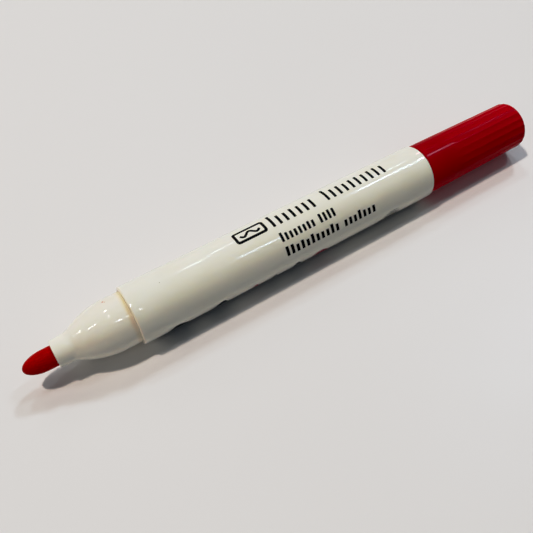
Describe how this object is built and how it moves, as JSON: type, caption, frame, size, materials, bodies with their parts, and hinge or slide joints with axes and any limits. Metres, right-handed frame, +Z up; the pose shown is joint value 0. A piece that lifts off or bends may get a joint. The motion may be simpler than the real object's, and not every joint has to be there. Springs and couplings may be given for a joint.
{
  "type": "whiteboard marker",
  "caption": "Round dry-wipe marker with a bullet nib, tapering nose, straight barrel and a fluted pull-off cap posted on its tail.",
  "frame": {"origin": "on the surface the marker lies on, under the middle of its length with the cap posted", "axes": "+X along the marker from nib to cap, +Z up"},
  "size_m": [0.1586, 0.016, 0.016],
  "materials": {
    "cream_plastic": "moulded, glossy",
    "red_plastic": "moulded, glossy",
    "nib_fibre": "pressed fibre, ink-soaked",
    "reservoir_fibre": "bundled fibre, ink-soaked",
    "sleeve_film": "thin clear film",
    "liner_plastic": "soft natural plastic"
  },
  "bodies": {
    "pen": {"barrel": "cream_plastic", "front_section": "cream_plastic", "nib": "nib_fibre", "ink_reservoir": "reservoir_fibre", "reservoir_sleeve": "sleeve_film", "end_plug": "cream_plastic"},
    "cap": {"cap": "red_plastic", "inner_cap": "liner_plastic"}
  },
  "joints": [
    {"name": "cap_slide", "type": "slide", "parent": "pen", "child": "cap", "axis": [1, 0, 0], "range_m": [0, 0.025]}
  ]
}
